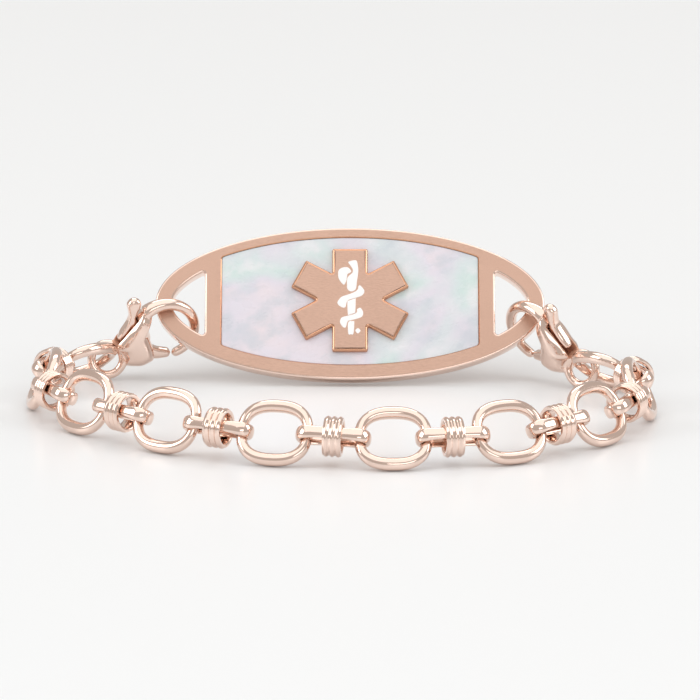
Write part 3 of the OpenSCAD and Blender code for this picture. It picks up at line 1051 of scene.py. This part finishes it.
def collar_part(sizes):
    """One collar: a short tube with three rounded ridges and a bright, eased bore."""
    bore, wall = sizes.collar_bore, sizes.collar_wall
    half, ridge = sizes.collar_l / 2, sizes.collar_ridge
    ease, ridges, fullness, steps = 0.09, 3, 0.75, 48
    profile = []
    for step in range(steps + 1):
        share = step / steps
        swell = (0.5 - 0.5 * math.cos(2 * ridges * math.pi * share)) ** fullness
        profile.append((half * (2 * share - 1), bore + wall + ridge * swell))
    inner = [(half, bore + ease), (half - ease, bore), (ease - half, bore), (-half, bore + ease)]
    return lathe(profile + inner)


class BRACELET_OT_collars(bpy.types.Operator):
    """Makes the ridged collars round the straps"""

    bl_idname = "bracelet.collars"
    bl_label = "Collars"

    def execute(self, context):
        part = collar_part(context.scene.bracelet_chain)
        piece = set_out("ridged_collars", part, [lie_of(node) for node in STRAPS])
        dress(piece, "bracelet", POLISHED, *COLLARS)
        return {"FINISHED"}


# Clasps


# Outline of a clasp's body from its pin: x towards the hook, y to the lever's side
BODY = [(-3.1, 0.9), (-2.5, 1.5), (0.9, 3.4), (2.2, 4.1), (2.7, 2.8), (1.6, 1.6), (1.35, -1.2),
        (0.9, -2.8), (-0.8, -3), (-2.1, -2.35), (-2.85, -1.75), (-2.3, -1), (-2.3, 0)]
BODY_RADII = [0.3, 0.6, 1, 0.4, 0.6, 1.5, 2, 0.6, 1.5, 1, 0.3, 0.8, 0.8]
# The room between its cheeks in which the lever swings
ROOM = [(-2.74, 0.15), (-2.87, 0.8), (-2.75, 1.4), (-3, 4), (1.4, 6.7), (0.97, 3.7), (0.93, 2.4),
        (0.95, 1.7), (1, 0.2), (3.4, 0.2), (3.4, -4.5), (0.4, -4.5), (0, -2.1), (-1.1, -1.3),
        (-1.35, -0.2), (-1.8, 0.1)]
# The lever's strip with its knob, its hub and its nose: x, y and radius along them
LEVER = [
    [(-1.78, 1.6, 0.32), (-1.2, 2.08, 0.4), (-0.2, 2.85, 0.42), (0.45, 3.6, 0.44),
     (0.8, 4.3, 0.6), (1.1, 4.85, 0.84), (1.22, 5, 0.8)],
    [(0.4, 3.35, 0.45), (0.25, 2.6, 0.6), (0, 1.4, 0.8), (0, 0, 0.9), (0.5, -1, 0.75)],
    [(-1.2, 1.75, 0.33), (-0.6, 1.9, 0.5), (0, 1.6, 0.6)],
    [(0.2, -1.1, 0.8), (1.1, -2.1, 0.74), (1.8, -2.5, 0.62), (2.3, -2.74, 0.52)],
]


def settled(piece):
    """Vertices and faces of a piece under its modifiers; the piece goes."""
    bpy.context.view_layer.update()
    seen = piece.evaluated_get(bpy.context.evaluated_depsgraph_get())
    mesh = bpy.data.meshes.new_from_object(seen)
    shape = [tuple(v.co) for v in mesh.vertices], [tuple(p.vertices) for p in mesh.polygons]
    bpy.data.objects.remove(piece)
    bpy.data.meshes.remove(mesh)
    return shape


def cast(shape, grain, softness):
    """Merges the parts of a shape into one casting, and rounds it."""
    piece = make("core", [POLISHED], *shape)
    remesh = piece.modifiers.new("grain", "REMESH")
    remesh.mode, remesh.voxel_size = "VOXEL", grain
    smooth = piece.modifiers.new("soften", "SMOOTH")
    smooth.factor, smooth.iterations = 0.5, softness
    return settled(piece)


def prism(outline, half):
    """A closed prism on a counter-clockwise outline."""
    count = len(outline)
    vertices = [(x, y, z) for z in (-half, half) for x, y in outline]
    sides = [(k, (k + 1) % count, count + (k + 1) % count, count + k) for k in range(count)]
    return vertices, [tuple(range(count))[::-1], tuple(range(count, 2 * count)), *sides]


def dome(outline, middle, half_t, bulge=11, ease=1.5, rings=20):
    """A puffy plate on an outline: thickest in the middle, with round edges."""
    vertices, faces = [(*middle, half_t)], []
    shares = [1 - (k / rings) ** 2 for k in range(rings)]
    walk = [(s, 1) for s in shares[:0:-1]] + [(1, 0)] + [(s, -1) for s in shares[1:]]
    for share, side in walk:
        for corner in outline:
            spoke = Vector(corner) - middle
            spot = middle + spoke * share
            lens = math.sqrt(bulge**2 - spot.length_squared) - bulge + half_t
            inset = min(1, (1 - share) * spoke.length / ease)
            vertices.append((*spot, side * lens * math.sqrt(1 - (1 - inset) ** 2)))
    vertices.append((*middle, -half_t))
    count, last = len(outline), len(vertices) - 1
    for k in range(count):
        m = (k + 1) % count
        faces.append((0, 1 + k, 1 + m))
        faces.append((last, last - count + m, last - count + k))
        for ring in range(len(walk) - 1):
            a, b = 1 + ring * count, 1 + (ring + 1) * count
            faces.append((a + k, b + k, b + m, a + m))
    return vertices, faces


def dense(outline, step=0.12):
    """An outline with more points on its long sides."""
    points = []
    for a, b in zip(outline, outline[1:] + outline[:1]):
        parts = max(1, math.ceil((b - a).length / step))
        points += [a + (b - a) * k / parts for k in range(parts)]
    return points


def clasp_body(sizes):
    """The cheeks of a clasp, with the room for the lever cut between them."""
    outline = dense(rounded([Vector(p) for p in BODY[::-1]], BODY_RADII[::-1], 10))
    cheeks = dome(outline, Vector((-0.6, 0.4)), sizes.clasp_t / 2)
    body = make("cheeks", [POLISHED], *cheeks)
    room = make("room", [POLISHED], *prism(ROOM[::-1], sizes.slot_w / 2))
    cut = body.modifiers.new("room", "BOOLEAN")
    cut.operation, cut.solver, cut.object = "DIFFERENCE", "EXACT", room
    shape = settled(body)
    bpy.data.objects.remove(room)
    return shape


def clasp_place(side):
    """Placement of a clasp with its origin at the lever's hinge."""
    sizes = bpy.context.scene.bracelet_clasp
    turn = sizes.left_turn if side == "left" else sizes.right_turn
    x_axis, y_axis = clasp_axes(*turn)
    joint = next(j for j in frame["joints"] if j["child"] == side + "_lever")
    flip = Matrix.Scale(-1, 4, (1, 0, 0)) if side == "right" else Matrix.Identity(4)
    return flip @ placement(flip @ Vector(joint["pos_m"]), x_axis, y_axis)


def in_room(sizes, shape):
    """1 for each face of a casting that is a wall of the lever's room, and 0 elsewhere."""
    vertices, faces = shape
    spots = np.array([np.mean([vertices[k] for k in face], axis=0) for face in faces])
    x, y, z = spots.T
    inside = np.zeros(len(faces), bool)
    for (x0, y0), (x1, y1) in zip(ROOM, ROOM[1:] + ROOM[:1]):
        spans = (y0 > y) != (y1 > y)
        with np.errstate(divide="ignore", invalid="ignore"):
            inside ^= spans & (x < x0 + (x1 - x0) * (y - y0) / (y1 - y0))
    # Past this x lies the open mouth of the hook
    mouth_x = 1
    in_cheeks = (x < mouth_x) & (np.abs(z) < sizes.slot_w / 2 + 2 * sizes.grain)
    return (inside & in_cheeks).astype(int)


def hook_wire(sizes, steps=64):
    """The hook's wire, broadest at the body and tapered to its rounded tip."""
    start, end = math.radians(112), math.radians(-99)
    centre = Vector((3.35, 0.1, 0))
    # What the root adds to the hook's radius, its depth and its wire
    root_out, root_deep, root_wire = 0.12, 0.3, 0.28
    # What the wire loses towards its tip, and where the tip's rounding starts
    thinner, tip_from, tip_least = 0.14, 0.95, 0.03
    rows = []
    for k in range(steps + 1):
        share = k / steps
        angle = start + (end - start) * share
        out = Vector((math.cos(angle), math.sin(angle), 0))
        root = max(0, 1 - share / 0.5) ** 2
        taper = 1 + root_wire * root - thinner * max(0, share - 0.5) / 0.5
        tip = math.sqrt(max(tip_least, 1 - max(0, (share - tip_from) / (1 - tip_from)) ** 2))
        at = centre + out * (sizes.hook_r + root_out * root)
        deep = Vector((0, 0, 1 + root_deep * root))
        rows.append((at, out, deep, sizes.hook_wire / 2 * taper * tip))
    return sweep(rows, 28, closed=False)


def eye_wire(sizes, steps=72):
    """The eye's ring of wire, twisted out of the clasp's plane, thickest at the body.

    Its hole is that of a ring of the eye's wire, and what it is thicker lies outside.
    """
    stouter, root_growth = 0.14, 0.1
    turn = Matrix.Rotation(-sizes.eye_twist, 3, "X")
    centre = Vector((-4.17, -0.5, 0))
    rows = []
    for k in range(steps):
        angle = 2 * math.pi * k / steps
        out = turn @ Vector((math.cos(angle), math.sin(angle), 0))
        root = max(0, math.cos(angle)) ** 4
        radius = sizes.eye_wire / 2 + stouter + root_growth * root
        at = centre + out * (sizes.eye_r - sizes.eye_wire + radius)
        rows.append((at, out, turn @ Vector((0, 0, 1)), radius))
    return sweep(rows, 20)


def smooth_path(rows, steps=6):
    """A curve through the rows, each a tuple of numbers."""
    rows = np.array(rows, float)
    ends = np.vstack([2 * rows[0] - rows[1], rows, 2 * rows[-1] - rows[-2]])
    shares = np.arange(steps) / steps
    path = [spline(*ends[k - 1 : k + 3], t) for k in range(1, len(rows)) for t in shares]
    return np.array(path + [rows[-1]])


def lever_part(rows, half_t):
    """A rounded bar of a lever, as thick as the lever where it is broadest."""
    path = smooth_path(rows)
    along = np.gradient(path[:, :2], axis=0)
    along /= np.linalg.norm(along, axis=1)[:, None]
    # Each end closes with a half-round
    ends = [(-math.cos(a), math.sin(a)) for a in np.linspace(0.2, math.pi / 2, 7)[:-1]]
    rings = [(0, s, r) for s, r in ends] + [(k, 0, 1) for k in range(len(path))]
    rings += [(-1, -s, r) for s, r in reversed(ends)]
    rows, deepest = [], 1.7
    for k, shift, share in rings:
        x, y, radius = path[k]
        way = Vector((*along[k], 0))
        at = Vector((x, y, 0)) + way * radius * shift
        deep = Vector((0, 0, min(deepest, half_t / radius)))
        rows.append((at, Vector((way.y, -way.x, 0)), deep, radius * share))
    return sweep(rows, 32, closed=False, square=2.6)


class BRACELET_OT_clasps(bpy.types.Operator):
    """Makes both lobster clasps: bodies with hook and eye, and levers"""

    bl_idname = "bracelet.clasps"
    bl_label = "Clasps"

    def execute(self, context):
        sizes = context.scene.bracelet_clasp
        parts = clasp_body(sizes), hook_wire(sizes), eye_wire(sizes)
        body = cast(join_parts(*parts), sizes.grain, softness=24)
        # The casting comes out a little thicker than its bars
        growth = 0.03
        bars = [lever_part(rows, sizes.lever_t / 2 - growth) for rows in LEVER]
        lever = cast(join_parts(*bars), sizes.grain * 0.8, softness=26)
        # The walls of the lever's room take a darker brown, which paints the shade inside the
        # clasp
        walls, plain = in_room(sizes, body), np.zeros(len(lever[1]), int)
        for side in ("left", "right"):
            where = clasp_place(side)
            for shape, marks, node, rider in (
                (body, walls, side + "_clasp_body", "bracelet"),
                (lever, plain, side + "_clasp_lever", side + "_lever"),
            ):
                vertices, faces = shape
                finishes = [POLISHED, SHADED_ROOM][: marks.max() + 1]
                spots = moved(vertices, where)
                piece = make(node + "_casting", finishes, spots, faces, marks)
                face_out(piece)
                dress(piece, rider, POLISHED, node)
            pin = NODES[side + "_clasp_pin"]
            pin.data.materials.clear()
            pin.data.materials.append(material(POLISHED))
        return {"FINISHED"}


def face_out(piece):
    """Turns the faces of a mirrored piece outwards."""
    work = bmesh.new()
    work.from_mesh(piece.data)
    bmesh.ops.recalc_face_normals(work, faces=work.faces)
    work.to_mesh(piece.data)
    work.free()


# Stage


# Name, place and size in metres, and power in watts
SOFTBOXES = [
    ("top", (0, -0.3, 1.5), (2.2, 2.0), 11),
    ("left", (-1.6, -0.4, 0.9), (1.0, 1.0), 9),
    ("right", (1.6, -0.2, 0.9), (1.0, 1.0), 9),
    ("back", (0, 1.3, 1.9), (1.8, 0.7), 9),
    ("front", (0.4, -1.8, 0.6), (1.0, 0.5), 2.5),
]


def softbox(name, at, size, power):
    """A rectangular area light that faces the bracelet."""
    lamp = bpy.data.lights.new(name, "AREA")
    lamp.shape, lamp.size, lamp.size_y = "RECTANGLE", size[0], size[1]
    lamp.energy = power
    holder = bpy.data.objects.new(name, lamp)
    bpy.context.scene.collection.objects.link(holder)
    holder.location = at
    holder.rotation_euler = (-Vector(at)).to_track_quat("-Z", "Y").to_euler()


class BRACELET_OT_stage(bpy.types.Operator):
    """Makes the pale floor, the soft studio light and the camera"""

    bl_idname = "bracelet.stage"
    bl_label = "Stage"

    def execute(self, context):
        look = context.scene.bracelet_stage
        shader = Shader("pale_floor", Base_Color=tuple(look.floor), Roughness=0.28)
        half, below = 2.5, 0.00005
        mesh = bpy.data.meshes.new("floor")
        corners = [(-half, -half, 0), (half, -half, 0), (half, half, 0), (-half, half, 0)]
        mesh.from_pydata(corners, [], [(0, 1, 2, 3)])
        mesh.materials.append(shader.material)
        floor = bpy.data.objects.new("floor", mesh)
        bpy.context.scene.collection.objects.link(floor)
        floor.location.z = -below

        world = bpy.data.worlds.new("studio")
        context.scene.world = world
        world.use_nodes = True
        backdrop = world.node_tree.nodes["Background"]
        backdrop.inputs["Color"].default_value = (0.95, 0.91, 0.87, 1)
        backdrop.inputs["Strength"].default_value = 0.6
        for name, *light in SOFTBOXES:
            softbox(name + "_softbox", *light)
        context.scene.view_settings.view_transform = "Standard"

        lens = bpy.data.cameras.new("camera")
        camera = bpy.data.objects.new("camera", lens)
        context.scene.collection.objects.link(camera)
        # The picture is 700 x 700 pixels: the focal length and the middle of the
        # bracelet are given in its pixels
        side, focal, middle_y = 700, 4520, 392.2
        lens.sensor_width = 36
        lens.lens = lens.sensor_width * focal / side
        lens.shift_y = (middle_y - side / 2) / side
        lens.clip_start, lens.clip_end = 0.01, 20
        target = Vector((1.02, -1.2, 3)) * MM
        back = Vector((0, -math.cos(look.elevation), math.sin(look.elevation)))
        camera.location = target + back * look.distance
        camera.rotation_euler = (math.pi / 2 - look.elevation, 0, 0)
        context.scene.camera = camera
        return {"FINISHED"}


class BRACELET_PT_panel(bpy.types.Panel):
    """Lists the bracelet's operators"""

    bl_label = "Bracelet"
    bl_idname = "BRACELET_PT_panel"
    bl_space_type = "VIEW_3D"
    bl_region_type = "UI"
    bl_category = "Bracelet"

    def draw(self, context):
        for operator in OPERATORS:
            self.layout.operator(operator.bl_idname)
        for name in GROUPS:
            box = self.layout.box()
            group = getattr(context.scene, name)
            for key in group.bl_rna.properties.keys():
                if key not in ("rna_type", "name"):
                    box.prop(group, key)


GROUPS = {
    "bracelet_plaque": PlaqueSizes,
    "bracelet_chain": ChainSizes,
    "bracelet_clasp": ClaspSizes,
    "bracelet_stage": StageLook,
}
OPERATORS = (
    BRACELET_OT_plaque,
    BRACELET_OT_inlay,
    BRACELET_OT_emblem,
    BRACELET_OT_links,
    BRACELET_OT_straps,
    BRACELET_OT_collars,
    BRACELET_OT_clasps,
    BRACELET_OT_stage,
)


def register():
    for cls in (*GROUPS.values(), *OPERATORS, BRACELET_PT_panel):
        bpy.utils.register_class(cls)
    for name, group in GROUPS.items():
        setattr(bpy.types.Scene, name, bpy.props.PointerProperty(type=group))


def unregister():
    for name in GROUPS:
        delattr(bpy.types.Scene, name)
    for cls in reversed((*GROUPS.values(), *OPERATORS, BRACELET_PT_panel)):
        bpy.utils.unregister_class(cls)


def main():
    """Dresses the frame."""
    register()
    for operator in OPERATORS:
        getattr(bpy.ops.bracelet, operator.bl_idname.partition(".")[2])()


if __name__ == "__main__":
    main()
